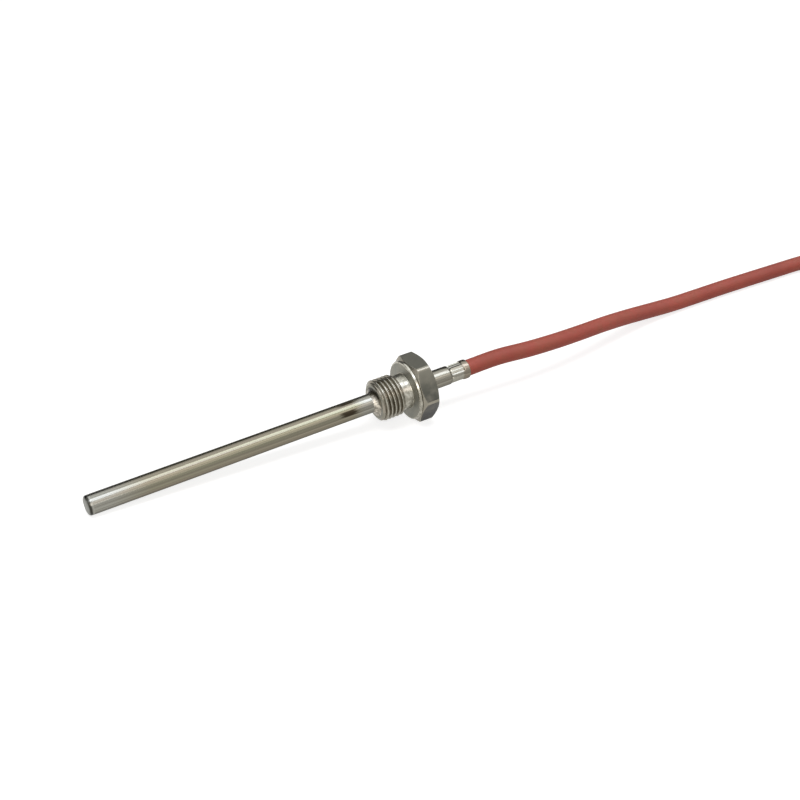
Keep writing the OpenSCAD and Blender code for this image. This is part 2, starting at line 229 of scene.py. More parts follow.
# ---------------------------------------------------------------- materials
TIP_RUN = SHEATH_R - TIP_ROUND + TIP_ROUND * TAU / 4 + PLUG_LIP - TIP_ROUND     # over the closed end
SHEATH_RUN = 0.13
CRIMP_RUN = (Z_CRIMP - CRIMP_SLOPE / 2 + TIP_RUN - PLUG_LIP) / SHEATH_RUN
RIM_RUN = CRIMP_RUN + (Z_RIM - Z_CRIMP) / SHEATH_RUN
HEX_TOP = 19.3 * MM
STEEL_GREEN = (0.250, 0.243, 0.168)
STEEL_TAN = (0.285, 0.248, 0.192)
STEEL_PALE = (0.460, 0.450, 0.385)
STEEL_GREY = (0.325, 0.322, 0.285)
STEEL_DARK = (0.110, 0.100, 0.078)
# Dark brown for the painted shade in the crimp's step and the painted dark reflection on the tube
SHADE_AND_REFLECTION_BROWN = (0.024, 0.017, 0.009)


def drawn_steel():
    """Satin tube with lengthwise lines, a painted dark reflection partway along and painted shade in the
    crimp's step. UV runs round the tube and along it in metres.
    """
    f = Finish("sheath_steel", STEEL_GREEN, metallic=1, roughness=0.2, Specular_Tint=(0.5, 0.5, 0.5, 1))
    fine = f.noise(f.place(scale=(56, 4, 1)), detail=4)
    lines = f.noise(f.place(scale=(30, 2.5, 1)), detail=2)
    broad = f.noise(f.place(scale=(22, 7, 1)), detail=2)
    hue = f.mix(f.span(broad, 0, 1, 0.38, 0.62), STEEL_GREEN, STEEL_TAN)
    run = f.math("DIVIDE", f.part(f.place(), "Y"), SHEATH_RUN)
    wobble = f.math("ADD", run, f.span(broad, -0.03, 0.03))
    ends = f.ramp(wobble, [
        (0.0, 1.0), (0.07, 0.9), (0.16, 0.0), (0.665, 0.0), (0.69, 0.9), (1.0, 0.4),
    ])
    crimp = f.band(run, CRIMP_RUN, RIM_RUN, 0.002)
    base = f.mix(crimp, f.mix(ends, hue, STEEL_GREY), STEEL_PALE)
    base = f.mix(f.ramp(run, [(RIM_RUN - 0.001, 0.0), (RIM_RUN + 0.003, 1.0)]), base, STEEL_TAN)
    streaked = f.mix(f.span(fine, 0.6, 0.0, 0.34, 0.52), base, STEEL_DARK)
    streaked = f.mix(f.span(lines, 0.6, 0.0, 0.38, 0.54), streaked, STEEL_DARK)
    around = f.part(f.place(), "X")
    # Painted shade: a dark band in the step where the crimp starts, strongest on the tube's upper middle
    step_shade = f.math("MULTIPLY", f.band(run, CRIMP_RUN - 0.003, CRIMP_RUN + 0.003, 0.0015),
                       f.ramp(around, [(0.46, 0.25), (0.52, 1.0), (0.63, 1.0), (0.69, 0.25)]))
    streaked = f.mix(step_shade, streaked, SHADE_AND_REFLECTION_BROWN)
    # Painted reflection: a dark brown patch and a thin sliver partway along the tube, at set angles round it
    patch_run = f.math("ADD", run, f.span(fine, -0.02, 0.02))
    patch = f.math("MULTIPLY", f.band(around, 0.650, 0.735, 0.006),
                   f.band(patch_run, 0.632, 0.672, 0.006))
    sliver = f.math("MULTIPLY", f.band(around, 0.495, 0.540, 0.008),
                    f.band(patch_run, 0.632, 0.676, 0.010))
    dark_reflection = f.math("MAXIMUM", patch, sliver)
    f.color(f.mix(f.math("MULTIPLY", dark_reflection, 0.92), streaked, SHADE_AND_REFLECTION_BROWN))
    f.roughness(f.math("ADD", f.span(fine, 0.14, 0.3), f.math("MULTIPLY", dark_reflection, 0.2)))
    f.bump(fine, 0.00003, 0.4)
    f.bump(lines, 0.0001, 0.35)
    return f.material


def tip_steel():
    """The welded end: a dull ground face inside a dark rounded ring. UV's Y is the run from the middle."""
    f = Finish("sheath_tip_steel", STEEL_GREY, metallic=1, roughness=0.35)
    run = f.math("DIVIDE", f.part(f.place(), "Y"), TIP_RUN)
    mottle = f.noise(f.place("Object", (1500, 1500, 1500)), detail=3)
    wobble = f.math("ADD", run, f.span(mottle, -0.03, 0.03))
    zones = f.ramp(wobble, [
        (0.0, (0.32, 0.325, 0.30)), (0.62, (0.30, 0.305, 0.28)),
        (0.71, (0.03, 0.03, 0.026)), (0.82, (0.035, 0.035, 0.03)),
        (0.90, STEEL_GREY), (1.0, STEEL_GREY),
    ])
    f.color(f.mix(f.span(mottle, 0.0, 0.35), zones, STEEL_DARK))
    f.roughness(f.span(run, 0.5, 0.22, 0.5, 0.8))
    f.bump(mottle, 0.00003, 0.4)
    return f.material


def turned_steel():
    """Turned surfaces with fine lines round the axis."""
    f = Finish("fitting_steel", STEEL_TAN, metallic=1, roughness=0.22)
    lines = f.noise(f.place(scale=(3, 5200, 1)), detail=3)
    patches = f.noise(f.place("Object", (320, 320, 320)), detail=3)
    f.color(f.mix(f.span(patches, 0, 1, 0.35, 0.65), (0.24, 0.232, 0.188), (0.31, 0.282, 0.228)))
    f.roughness(f.span(lines, 0.15, 0.34))
    f.bump(lines, 0.00003, 0.3)
    return f.material


def faced_steel():
    """End faces: dull, with rings from the facing cut. UV's Y is the run along the profile."""
    f = Finish("faced_steel", STEEL_GREY, metallic=1, roughness=0.45)
    rings = f.noise(f.place(scale=(2, 6000, 1)), detail=2)
    mottle = f.noise(f.place("Object", (500, 500, 500)), detail=3)
    f.color(f.mix(f.span(mottle, 0, 1, 0.35, 0.65), (0.25, 0.25, 0.215), (0.30, 0.29, 0.24)))
    f.roughness(f.span(rings, 0.40, 0.52))
    f.bump(rings, 0.00002, 0.3)
    return f.material


def root_steel():
    """The bottom of the thread's groove, painted darker in blotches as shade."""
    f = Finish("root_steel", STEEL_DARK, metallic=1, roughness=0.4)
    shade_blotches = f.noise(f.place("Object", (300, 300, 300)), detail=3)
    f.color(f.mix(f.span(shade_blotches, 0, 1, 0.4, 0.6), (0.215, 0.192, 0.148), (0.130, 0.110, 0.078)))
    f.roughness(f.span(shade_blotches, 0.34, 0.5))
    return f.material


def rim_steel():
    """The collar's rim, the undercut and the thread's crests, painted paler in broken patches as highlight."""
    f = Finish("rim_steel", STEEL_PALE, metallic=1, roughness=0.25)
    highlight_patches = f.noise(f.place("Object", (800, 800, 800)), detail=3)
    f.color(f.mix(f.span(highlight_patches, 0, 1, 0.42, 0.60), (0.50, 0.48, 0.41), (0.30, 0.285, 0.235)))
    f.roughness(f.span(highlight_patches, 0.18, 0.34))
    f.bump(highlight_patches, 0.00003, 0.3)
    return f.material


def bar_steel():
    """The hexagon's flats: the dull drawn skin of the bar, with lines along it, painted darker towards the
    bottom and lighter at the top as shade.
    """
    f = Finish("hex_flat_steel", STEEL_DARK, metallic=1, roughness=0.42)
    lines = f.noise(f.place(scale=(700, 60, 1)), detail=3)
    mottle = f.noise(f.place("Object", (420, 420, 420)), detail=5)
    height = f.math("DIVIDE", f.part(f.place("Object"), "Z"), HEX_TOP)
    # Painted shade: the flats get darker towards the bottom and lighter towards the top
    skin_with_shade = f.ramp(height, [
        (0.1, (0.036, 0.036, 0.036)), (0.35, (0.056, 0.056, 0.051)),
        (0.7, (0.074, 0.075, 0.062)), (0.95, (0.150, 0.146, 0.118)),
    ])
    f.color(f.mix(f.span(mottle, 0.0, 0.6, 0.4, 0.75), skin_with_shade, (0.17, 0.16, 0.13)))
    f.roughness(f.span(mottle, 0.36, 0.5))
    f.bump(lines, 0.00002, 0.3)
    return f.material


def weld_steel():
    """The weld's beads, bright below and painted dark on their upper side as shade."""
    f = Finish("weld_steel", STEEL_TAN, metallic=1, roughness=0.3)
    spots = f.noise(f.place("Object", (900, 900, 900)), detail=3)
    bright = f.mix(f.span(spots, 0, 1, 0.4, 0.62), (0.24, 0.22, 0.18), (0.66, 0.61, 0.51))
    height = f.math("ADD", f.part(f.place("Object"), "Z"), f.span(spots, -0.002, 0.002))
    # Painted shade: the beads turn dark above a set height
    top_shade = f.span(height, 0, 1, 0.0104, 0.0120)
    f.color(f.mix(top_shade, bright, (0.030, 0.026, 0.017)))
    f.roughness(f.span(spots, 0.22, 0.42))
    f.bump(spots, 0.00004, 0.3)
    return f.material


def silicone(name, color, darker, roughness=0.5, grain=900):
    f = Finish(name, color, roughness=roughness, Specular_IOR_Level=0.25)
    mottle = f.noise(f.place("Object", (grain, grain, grain)), detail=4)
    broad = f.noise(f.place("Object", (60, 60, 60)), detail=2)
    patches = f.noise(f.place("Object", (230, 230, 230)), detail=2)
    tired = f.mix(f.span(patches, 0, 0.6, 0.42, 0.62), color, (0.85 * color[0], 1.15 * color[1], color[2]))
    f.color(f.mix(f.span(broad, 0, 1, 0.35, 0.7), tired, darker))
    f.roughness(f.span(mottle, roughness - 0.07, roughness + 0.1))
    f.bump(mottle, 0.00004, 0.35)
    return f.material


def strap_fabric():
    """Hook-and-loop strap. UV runs across it and along it in metres: a rib weave under a short nap."""
    f = Finish("tie_fabric", (0.025, 0.025, 0.028), roughness=0.85, Sheen_Weight=0.4)
    nap = f.noise(f.place("Object", (2600, 2600, 2600)), detail=4)
    weave = f.node("TexWave", bands_direction="Y")
    weave.inputs["Scale"].default_value = 260
    weave.inputs["Distortion"].default_value = 1.5
    f.join(f.place(), weave.inputs["Vector"])
    f.color(f.mix(nap, (0.010, 0.010, 0.012), (0.055, 0.055, 0.06)))
    f.bump(weave.outputs["Fac"], 0.0001, 0.5)
    f.bump(nap, 0.0003, 0.5)
    return f.material


def fine_metal(name, color, roughness=0.25):
    f = Finish(name, color, metallic=1, roughness=roughness)
    grain = f.noise(f.place("Object", (1500, 1500, 1500)), detail=3)
    f.color(f.mix(grain, color, tuple(0.8 * c for c in color)))
    f.roughness(f.span(grain, roughness - 0.08, roughness + 0.12))
    return f.material


def plain_solid(name, color, roughness=0.6):
    f = Finish(name, color, roughness=roughness)
    grain = f.noise(f.place("Object", (1200, 1200, 1200)), detail=3)
    f.color(f.mix(grain, color, tuple(0.85 * c for c in color)))
    f.bump(grain, 0.00003, 0.3)
    return f.material


finishes = {
    "sheath_steel": drawn_steel(),
    "fitting_steel": turned_steel(),
    "weld_steel": weld_steel(),
    "chip_ceramic": plain_solid("chip_ceramic", (0.85, 0.84, 0.80)),
    "sealing_glass": plain_solid("sealing_glass", (0.65, 0.72, 0.68), 0.2),
    "lead_metal": fine_metal("lead_metal", (0.62, 0.60, 0.56)),
    "filling_ceramic": plain_solid("filling_ceramic", (0.72, 0.68, 0.60), 0.8),
    "splice_brass": fine_metal("splice_brass", (0.60, 0.42, 0.18), 0.35),
    "sleeve_plastic": plain_solid("sleeve_plastic", (0.48, 0.36, 0.08), 0.4),
    "liner_plastic": plain_solid("liner_plastic", (0.85, 0.84, 0.79), 0.5),
    "conductor_metal": fine_metal("conductor_metal", (0.68, 0.66, 0.63)),
    "core_white_silicone": silicone("core_white_silicone", (0.74, 0.72, 0.68), (0.66, 0.64, 0.60)),
    "core_red_silicone": silicone("core_red_silicone", (0.45, 0.035, 0.025), (0.36, 0.025, 0.02)),
    "jacket_silicone": silicone("jacket_silicone", (0.38, 0.076, 0.050), (0.30, 0.058, 0.040), 0.58),
    "ferrule_metal": fine_metal("ferrule_metal", (0.70, 0.69, 0.67), 0.22),
    "tie_fabric": strap_fabric(),
    "end_sleeve_plastic": silicone("end_sleeve_plastic", (0.16, 0.022, 0.018), (0.12, 0.016, 0.014), 0.35),
}
TURNED, BAR, FACED, RIM, ROOT = range(5)        # places in the fitting's list of finishes
fitting_finishes = [finishes["fitting_steel"], bar_steel(), faced_steel(), rim_steel(), root_steel()]
tip_finish = tip_steel()

for entry in frame["record"]["subparts"]:
    cad_node = frame["nodes"][entry["node"]]
    cad_node.data.materials.clear()
    cad_node.data.materials.append(finishes[entry["material_slot"]])


# ---------------------------------------------------------------- mesh helpers
def ease(value):
    """0 to 1 with flat ends."""
    t = min(1.0, max(0.0, value))
    return t * t * (3 - 2 * t)


def make_piece(name, vertices, faces, face_uvs, materials, sharp_angle=35):
    mesh = bpy.data.meshes.new(name)
    mesh.from_pydata(vertices, [], faces)
    layer = mesh.uv_layers.new(name="UVMap")
    for polygon, corners in zip(mesh.polygons, face_uvs):
        for loop, corner in zip(polygon.loop_indices, corners):
            layer.data[loop].uv = corner
    for material in materials:
        mesh.materials.append(material)
    mesh.shade_smooth()
    mesh.set_sharp_from_angle(angle=math.radians(sharp_angle))
    piece = bpy.data.objects.new(name, mesh)
    bpy.context.scene.collection.objects.link(piece)
    return piece


def turned_piece(name, where, rows, sides, materials, closed=False, sharp_angle=35, run=0.0):
    """A body round the Z axis of where. A row is (z, r), or a function of the angle that gives them.

    A row with no radius closes to a point. UV runs round the body and along its profile, from run on.
    """
    vertices, rings, runs = [], [], []
    last = None
    for row in rows:
        here = row(0.0) if callable(row) else row
        run += math.hypot(here[0] - last[0], here[1] - last[1]) if last else 0.0
        last = here
        runs.append(run)
        first = len(vertices)
        if here[1] == 0:
            vertices.append(where @ Vector((0, 0, here[0])))
            rings.append([first] * (sides + 1))
            continue
        for k in range(sides):
            angle = k * TAU / sides
            z, r = row(angle) if callable(row) else row
            vertices.append(where @ Vector((r * math.cos(angle), r * math.sin(angle), z)))
        rings.append([first + k % sides for k in range(sides + 1)])
    if closed:
        rings.append(rings[0])
        runs.append(run + math.hypot(rows[0][0] - last[0], rows[0][1] - last[1]))
    faces, face_uvs = [], []
    for low, high, v_low, v_high in zip(rings, rings[1:], runs, runs[1:]):
        for k in range(sides):
            corners = [(low[k], (k / sides, v_low)), (low[k + 1], ((k + 1) / sides, v_low)),
                       (high[k + 1], ((k + 1) / sides, v_high)), (high[k], (k / sides, v_high))]
            kept = {vertex: uv for vertex, uv in corners}
            if len(kept) > 2:
                faces.append(tuple(kept))
                face_uvs.append(tuple(kept.values()))
    return make_piece(name, vertices, faces, face_uvs, materials, sharp_angle)


def finish_piece(piece, slot_name, *nodes):
    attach(piece, "root")
    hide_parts(*nodes)
    return piece


def smooth_path(points, step):
    """Points every step or so along a curve through the given ones."""
    ends = [2 * points[0] - points[1], *points, 2 * points[-1] - points[-2]]
    path = []
    for a, b, c, d in zip(ends, ends[1:], ends[2:], ends[3:]):
        count = max(1, round((c - b).length / step))
        for k in range(count):
            t = k / count
            path.append(0.5 * (2 * b + (c - a) * t + (2 * a - 5 * b + 4 * c - d) * t**2
                               + (3 * b - 3 * c + d - a) * t**3))
    return path + [points[-1]]


def cord_curve(name, path, radius, material, resolution=8):
    data = bpy.data.curves.new(name, "CURVE")
    data.dimensions = "3D"
    data.bevel_depth = radius
    data.bevel_resolution = resolution
    data.use_fill_caps = True
    spline = data.splines.new("POLY")
    spline.points.add(len(path) - 1)
    for point, place in zip(spline.points, path):
        point.co = (*place, 1)
    spline.use_smooth = True
    data.materials.append(material)
    piece = bpy.data.objects.new(name, data)
    bpy.context.scene.collection.objects.link(piece)
    return piece


# ---------------------------------------------------------------- the cable's way
# X is measured from the sheath's end, Z from the floor to the cable's underside
EXIT_STEP = 12 * MM
CABLE_WAY = [
    (24, 0.2, 8.4), (36, 1.4, 7.6), (48, 3.6, 6.5), (60, 6.6, 5), (72, 9.6, 3.1), (84, 12, 1.3),
    (96, 13.4, 0.2), (108, 14.2, 0), (120, 14.8, 0), (132, 15.2, 0), (144, 15.5, 0), (156, 15.8, 0),
]
exit_at = PROBE @ Vector((0, 0, Z_END))
route = [exit_at, exit_at + EXIT_STEP * along]
route += [Vector((exit_at.x + x * MM, y * MM, CABLE_R + z * MM)) for x, y, z in CABLE_WAY]

# The hank: an outer and an inner turn on the floor, and one turn in the groove between them
HANK_RUN = 93 * MM
LEAD_IN = 36 * MM
INNER_R = 15.6 * MM
OUTER_R = INNER_R + CABLE_D
MIDDLE_R = INNER_R + CABLE_D / 2
UPPER_Z = CABLE_R + CABLE_D * math.sin(math.radians(60))
TOUCH = CABLE_D * 1.01          # between two strands that roll over each other
STEP = 3 * MM
FOLD_STEPS = 24
TIE_FROM_FOLD = 66 * MM
TAIL_PAST_TIE = 29 * MM
TAIL_ASIDE = 6 * MM             # from the inner turn to the tail's lie beside it
TIE_PULL = 1.0 * MM             # how far the tie draws the strands in
TIE_REACH = 16 * MM
hank_x = route[-1].x + LEAD_IN
hank_y = route[-1].y - OUTER_R
far_x = hank_x + HANK_RUN
tie_x = hank_x + TIE_FROM_FOLD
tail_end = Vector((tie_x - TAIL_PAST_TIE, hank_y - INNER_R + TAIL_ASIDE, TIE_T + CABLE_R))


def at_tie(place):
    """A strand is drawn in and lifted where the tie holds it."""
    grip = math.exp(-((place.x - tie_x) / TIE_REACH) ** 2)
    inward = -math.copysign(1, place.y - hank_y) * TIE_PULL * grip
    return place + Vector((0, inward, TIE_T * grip))


def straight(start, end):
    count = max(2, round((end - start).length / STEP))
    return [start.lerp(end, k / count) for k in range(count)]


def fold(x, start_angle, radius_and_height):
    """Half a turn round (x, hank_y), from start_angle in degrees down to 180 less."""
    path = []
    for k in range(FOLD_STEPS):
        share = k / FOLD_STEPS
        angle = math.radians(start_angle - 180 * share)
        radius, height = radius_and_height(share)
        path.append(Vector((x + radius * math.cos(angle), hank_y + radius * math.sin(angle), height)))
    return path


def climb(share):
    """The outer turn stays low until the inner one has come down, and then climbs over it."""
    lift = math.radians(60) * ease((share - 0.5) / 0.5)
    return INNER_R + TOUCH * math.cos(lift), CABLE_R + TOUCH * math.sin(lift)


def come_down(share):
    """The upper turn rolls down over the outer one's inner side."""
    drop = math.radians(120 + 60 * ease(share / 0.5))
    return OUTER_R + TOUCH * math.cos(drop), CABLE_R + TOUCH * math.sin(drop)


def at_side(x, radius, height, side):
    return Vector((x, hank_y + side * radius, height))


def turn(radius, height, last_fold):
    """One turn from the near end of the +Y run, with last_fold as its fold at the near end."""
    path = straight(at_side(hank_x, radius, height, 1), at_side(far_x, radius, height, 1))
    path += fold(far_x, 90, lambda share: (radius, height))
    if last_fold:
        path += straight(at_side(far_x, radius, height, -1), at_side(hank_x, radius, height, -1))
        path += fold(hank_x, 270, last_fold)
    return path


def tail():
    """The tail leaves the inner turn after the far fold and moves inward to lie beside it."""
    start = at_side(far_x, INNER_R, CABLE_R, -1)
    reach = start.x - tail_end.x
    move = start.x - tie_x - TIE_W / 2
    count = round(reach / STEP)
    path = []
    for k in range(count + 1):
        gone = reach * k / count
        place = start.lerp(tail_end, ease(gone / move))
        place.x = start.x - gone
        path.append(place)
    return path


hank_path = straight(route[-1], at_side(hank_x, OUTER_R, CABLE_R, 1))
hank_path += turn(OUTER_R, CABLE_R, climb)
hank_path += turn(MIDDLE_R, UPPER_Z, come_down)
hank_path += turn(INNER_R, CABLE_R, None)
cable_path = smooth_path(route, STEP)[:-1] + [at_tie(place) for place in hank_path] + tail()
cable = cord_curve("cable", cable_path, CABLE_R, finishes["jacket_silicone"], 10)
finish_piece(cable, "jacket_silicone", "cable_run", "cable_hank", "cable_tail")


# ---------------------------------------------------------------- what is on the cable
def facing(origin, z_axis):
    """The frame at origin whose Z is z_axis, with X level."""
    x_axis = z_axis.cross(Vector((0, 0, 1))).normalized()
    axes = Matrix((x_axis, z_axis.cross(x_axis), z_axis))
    return Matrix.Translation(origin) @ axes.transposed().to_4x4()


# Ways of the flying leads from the jacket's end down to the floor, relative to that end, in millimetres
LEAD_LOW = -2.65
LEAD_WAYS = {
    "white": [(0, 0.9, 0), (-6, 1.2, -0.2), (-12, 2.6, -1.1), (-18, 5, -2.1), (-24, 7.6, LEAD_LOW),
              (-30, 9.4, LEAD_LOW)],
    "red_a": [(0, -0.45, 0.8), (-6, -0.3, 0.7), (-12, 0.4, -0.3), (-18, 1.2, -1.6), (-24, 2, LEAD_LOW),
              (-31, 2.6, LEAD_LOW)],
    "red_b": [(0, -0.45, -0.8), (-6, -0.9, -1), (-12, -1.4, -1.6), (-18, -1.8, -2.2),
              (-24, -2.1, LEAD_LOW), (-30, -2.2, LEAD_LOW)],
}


def ferrule_rows():
    """A thin tube, pressed flat on four sides along its middle, with the strands' end in its mouth."""
    def pressed(z, depth):
        return lambda angle: (z, FERRULE_R * (1 - 0.16 * depth * math.cos(2 * angle) ** 2))
    steps = 16
    rows = [(0, 0), (0, 0.9 * FERRULE_R), (0.08 * MM, FERRULE_R)]
    for k in range(1, steps):
        share = k / steps
        rows.append(pressed(FERRULE_L * share, ease((share - 0.15) / 0.1) * ease((0.85 - share) / 0.1)))
    rows += [(FERRULE_L - 0.05 * MM, FERRULE_R), (FERRULE_L, 0.94 * FERRULE_R)]
    rows += [(FERRULE_L, 0.8 * FERRULE_R), (FERRULE_L - 0.2 * MM, 0.76 * FERRULE_R)]
    return rows + [(FERRULE_L - 0.12 * MM, 0.4 * FERRULE_R), (FERRULE_L - 0.1 * MM, 0)]


def end_sleeve_rows():
    """A shrunk sleeve: tight on the jacket, and drawn in round the cores at its nose."""
    nose = -END_SLEEVE_NOSE
    core_room = 2.02 * MM
    shape = [
        (END_SLEEVE_GRIP, CABLE_R), (END_SLEEVE_GRIP, 2.9 * MM), (END_SLEEVE_GRIP - 0.3 * MM, 3.1 * MM),
        (END_SLEEVE_GRIP - 1.2 * MM, END_SLEEVE_R), (0.6 * MM, END_SLEEVE_R), (-0.6 * MM, 3.1 * MM),
        (-1.6 * MM, 2.8 * MM), (-2.6 * MM, 2.55 * MM), (nose + 0.25 * MM, 2.5 * MM), (nose, 2.35 * MM),
        (nose, 2.12 * MM), (nose + 0.2 * MM, core_room), (0, core_room), (0, CABLE_R),
    ]
    return shape[::-1]


pieces_on_cable = []
for name, way in LEAD_WAYS.items():
    points = [tail_end + Vector(point) * MM for point in way]
    slot_name = "core_white_silicone" if name == "white" else "core_red_silicone"
    lead = cord_curve(f"lead_{name}", smooth_path(points, 1.5 * MM), CORE_R, finishes[slot_name], 5)
    finish_piece(lead, slot_name, f"flying_lead_{name}")
    heading = (points[-1] - points[-2]).normalized()
    ferrule = turned_piece(
        f"end_ferrule_{name}", facing(points[-1], heading), ferrule_rows(), 32, [finishes["ferrule_metal"]],
    )
    finish_piece(ferrule, "ferrule_metal", f"ferrule_{name}")
    pieces_on_cable += [lead, ferrule]

end_sleeve = turned_piece(
    "shrunk_end_sleeve", facing(tail_end, Vector((1, 0, 0))), end_sleeve_rows(), 64,
    [finishes["end_sleeve_plastic"]], closed=True, sharp_angle=60,
)
finish_piece(end_sleeve, "end_sleeve_plastic", "jacket_end_sleeve")


# ---------------------------------------------------------------- the tie
STRAP_TURN = CABLE_R + TIE_T / 2        # from a strand's middle to the strap's middle
STRAP_SAG = 1.2 * MM
STRAP_LAP = 9 * MM
STRAP_STEP = 1.2 * MM
LAP_GAP = 0.05 * MM


def strap_line():
    """(y, z) of the strap's middle line: over the top, round both bundles, and lapped on itself."""
    low = (OUTER_R - TIE_PULL, CABLE_R + TIE_T)
    high = (MIDDLE_R - TIE_PULL, UPPER_Z + TIE_T)
    lean = math.degrees(math.atan2(low[0] - high[0], high[1] - low[1]))
    corners = [
        (1, high, 90, lean), (1, low, lean, -90), (-1, low, 270, 180 - lean), (-1, high, 180 - lean, 90),
    ]
    points = [(-STRAP_LAP, high[1] + STRAP_TURN), (STRAP_LAP, high[1] + STRAP_TURN)]
    for side, (y, z), start, end in corners:
        for k in range(13):
            angle = math.radians(start + (end - start) * k / 12)
            points.append((side * y + STRAP_TURN * math.cos(angle), z + STRAP_TURN * math.sin(angle)))
    lapped = high[1] + STRAP_TURN + TIE_T + LAP_GAP
    points += [(-STRAP_LAP - 5 * MM, high[1] + STRAP_TURN), (-STRAP_LAP, lapped), (STRAP_LAP, lapped)]
    line = []
    for (y0, z0), (y1, z1) in zip(points, points[1:]):
        count = max(1, round(math.hypot(y1 - y0, z1 - z0) / STRAP_STEP))
        for k in range(count):
            line.append((y0 + (y1 - y0) * k / count, z0 + (z1 - z0) * k / count))
    line.append(points[-1])
    return [
        (y, z - STRAP_SAG * max(0.0, 1 - (y / high[0]) ** 2) if z > high[1] else z) for y, z in line
    ]


def strap():
    line = strap_line()
    half_t, half_w, edge = TIE_T / 2, TIE_W / 2, 0.2 * MM
    section = [
        (-half_w + edge, half_t), (half_w - edge, half_t), (half_w, half_t - edge), (half_w, edge - half_t),
        (half_w - edge, -half_t), (edge - half_w, -half_t), (-half_w, edge - half_t), (-half_w, half_t - edge),
    ]
    vertices, faces, face_uvs = [], [], []
    run = 0.0
    runs = []
    for i, (y, z) in enumerate(line):
        before, after = line[max(0, i - 1)], line[min(len(line) - 1, i + 1)]
        run += math.hypot(y - before[0], z - before[1])
        runs.append(run)
        length = math.hypot(after[0] - before[0], after[1] - before[1])
        out = (-(after[1] - before[1]) / length, (after[0] - before[0]) / length)
        for across, rise in section:
            vertices.append(Vector((tie_x + across, hank_y + y + out[0] * rise, z + out[1] * rise)))
    count = len(section)
    for i in range(len(line) - 1):
        for k in range(count):
            a, b = i * count + k, i * count + (k + 1) % count
            faces.append((a, b, b + count, a + count))
            u0, u1 = section[k][0], section[(k + 1) % count][0]
            face_uvs.append(((u0, runs[i]), (u1, runs[i]), (u1, runs[i + 1]), (u0, runs[i + 1])))
    last = (len(line) - 1) * count
    faces.append(tuple(range(count - 1, -1, -1)))
    faces.append(tuple(last + k for k in range(count)))
    face_uvs += [tuple(section[k] for k in range(count - 1, -1, -1)), tuple(section)]
    return make_piece("tie_strap", vertices, faces, face_uvs, [finishes["tie_fabric"]], 50)


tie = finish_piece(strap(), "tie_fabric", "hank_tie")


# ---------------------------------------------------------------- sheath
def tip_rows():
    rows = [(0, 0), (0, 0.5 * SHEATH_R)]
    for k in range(9):
        angle = math.radians(-90 + 90 * k / 8)
        rows.append((TIP_ROUND + TIP_ROUND * math.sin(angle),
                     SHEATH_R - TIP_ROUND + TIP_ROUND * math.cos(angle)))
    bore = SHEATH_R - SHEATH_WALL
    return rows + [(PLUG_LIP, SHEATH_R), (PLUG_LIP, bore), (Z_SPIGOT_END, bore), (Z_SPIGOT_END, 0)]


def crimped(z, depth):
    """A row of the crimp: flats with narrow ridges between them and fainter ones along their middles."""
    def row(angle):
        part = (angle * CRIMP_FLATS / TAU + 0.5) % 1 - 0.5
        flat = CRIMP_FLAT_R / math.cos(part * TAU / CRIMP_FLATS)
        ridge = RIDGE_H * math.exp(-((abs(part) - 0.5) / RIDGE_SHARE) ** 2)
        line = LINE_H * math.exp(-(part / LINE_SHARE) ** 2)
        pressed = min(flat, CRIMP_CORNER_R) + (ridge + line) * min(depth, 1)
        return z, SHEATH_R + (pressed - SHEATH_R) * depth
    return row


def sheath_rows():
    bore = SHEATH_R - SHEATH_WALL
    rim_bore = RIM_R - SHEATH_WALL
    edge = 0.15 * MM
    step_start = Z_CRIMP - CRIMP_SLOPE
    flats_start = Z_CRIMP + NOTCH_L
    flats_end = Z_RIM - CRIMP_SLOPE
    rows = [(PLUG_LIP, bore), (PLUG_LIP, SHEATH_R)]
    rows += [(z * MM, SHEATH_R) for z in range(4, 118, 4)]
    rows += [crimped(step_start + CRIMP_SLOPE * k / 6, CRIMP_NOTCH * ease(k / 6)) for k in range(7)]
    rows += [
        crimped(Z_CRIMP + NOTCH_L * k / 4, CRIMP_NOTCH + (1 - CRIMP_NOTCH) * ease(k / 4))
        for k in range(1, 5)
    ]
    rows += [crimped(flats_start + (flats_end - flats_start) * k / 6, 1) for k in range(1, 7)]
    rows += [crimped(flats_end + CRIMP_SLOPE * k / 5, 1 - ease(k / 5)) for k in range(1, 5)]
    rows += [(Z_RIM, RIM_R - 0.04 * MM), (Z_RIM + 0.4 * MM, RIM_R), (Z_END - edge, RIM_R),
             (Z_END - 0.3 * edge, RIM_R - 0.3 * edge), (Z_END, RIM_R - edge), (Z_END, rim_bore + 0.3 * edge),
             (Z_END - edge, rim_bore), (Z_RIM, rim_bore), (flats_end, CRIMP_FLAT_R - SHEATH_WALL),
             (Z_CRIMP, CRIMP_FLAT_R - SHEATH_WALL), (step_start, bore)]
    return rows


tip_piece = turned_piece("sheath_tip", PROBE, tip_rows(), 96, [tip_finish])
finish_piece(tip_piece, "sheath_steel", "sheath_end_plug")
sheath = turned_piece("sheath", PROBE, sheath_rows(), 192, [finishes["sheath_steel"]], closed=True,
                      run=TIP_RUN - SHEATH_WALL)
finish_piece(sheath, "sheath_steel", "sheath_tube")


# ---------------------------------------------------------------- process fitting
FITTING_SIDES = 144
THREAD_STEPS = 125
CREST_DEPTH = 0.13 * MM         # below the crest, how far down the thread is bright
ROOT_DEPTH = 0.5 * MM           # and from where on it is dark
COLLAR_EDGE = 0.6 * MM
UNDERCUT_RISE = 0.1 * MM        # how far up from its bottom the undercut is bright
FACING = 0.99                   # along the axis, from which part on a face is an end face
EDGE_ANGLE = 28                 # degrees, from which on an edge is sharp and gets a bevel
THREAD_START = 0.35             # part of a turn by which the thread's start is turned round the axis


def thread_height(z, angle):
    """0 in the root to 1 on the crest of the thread."""
    turned = (z / THREAD_PITCH - angle / TAU + THREAD_START) % 1
    return ease(1 - abs(2 * turned - 1))


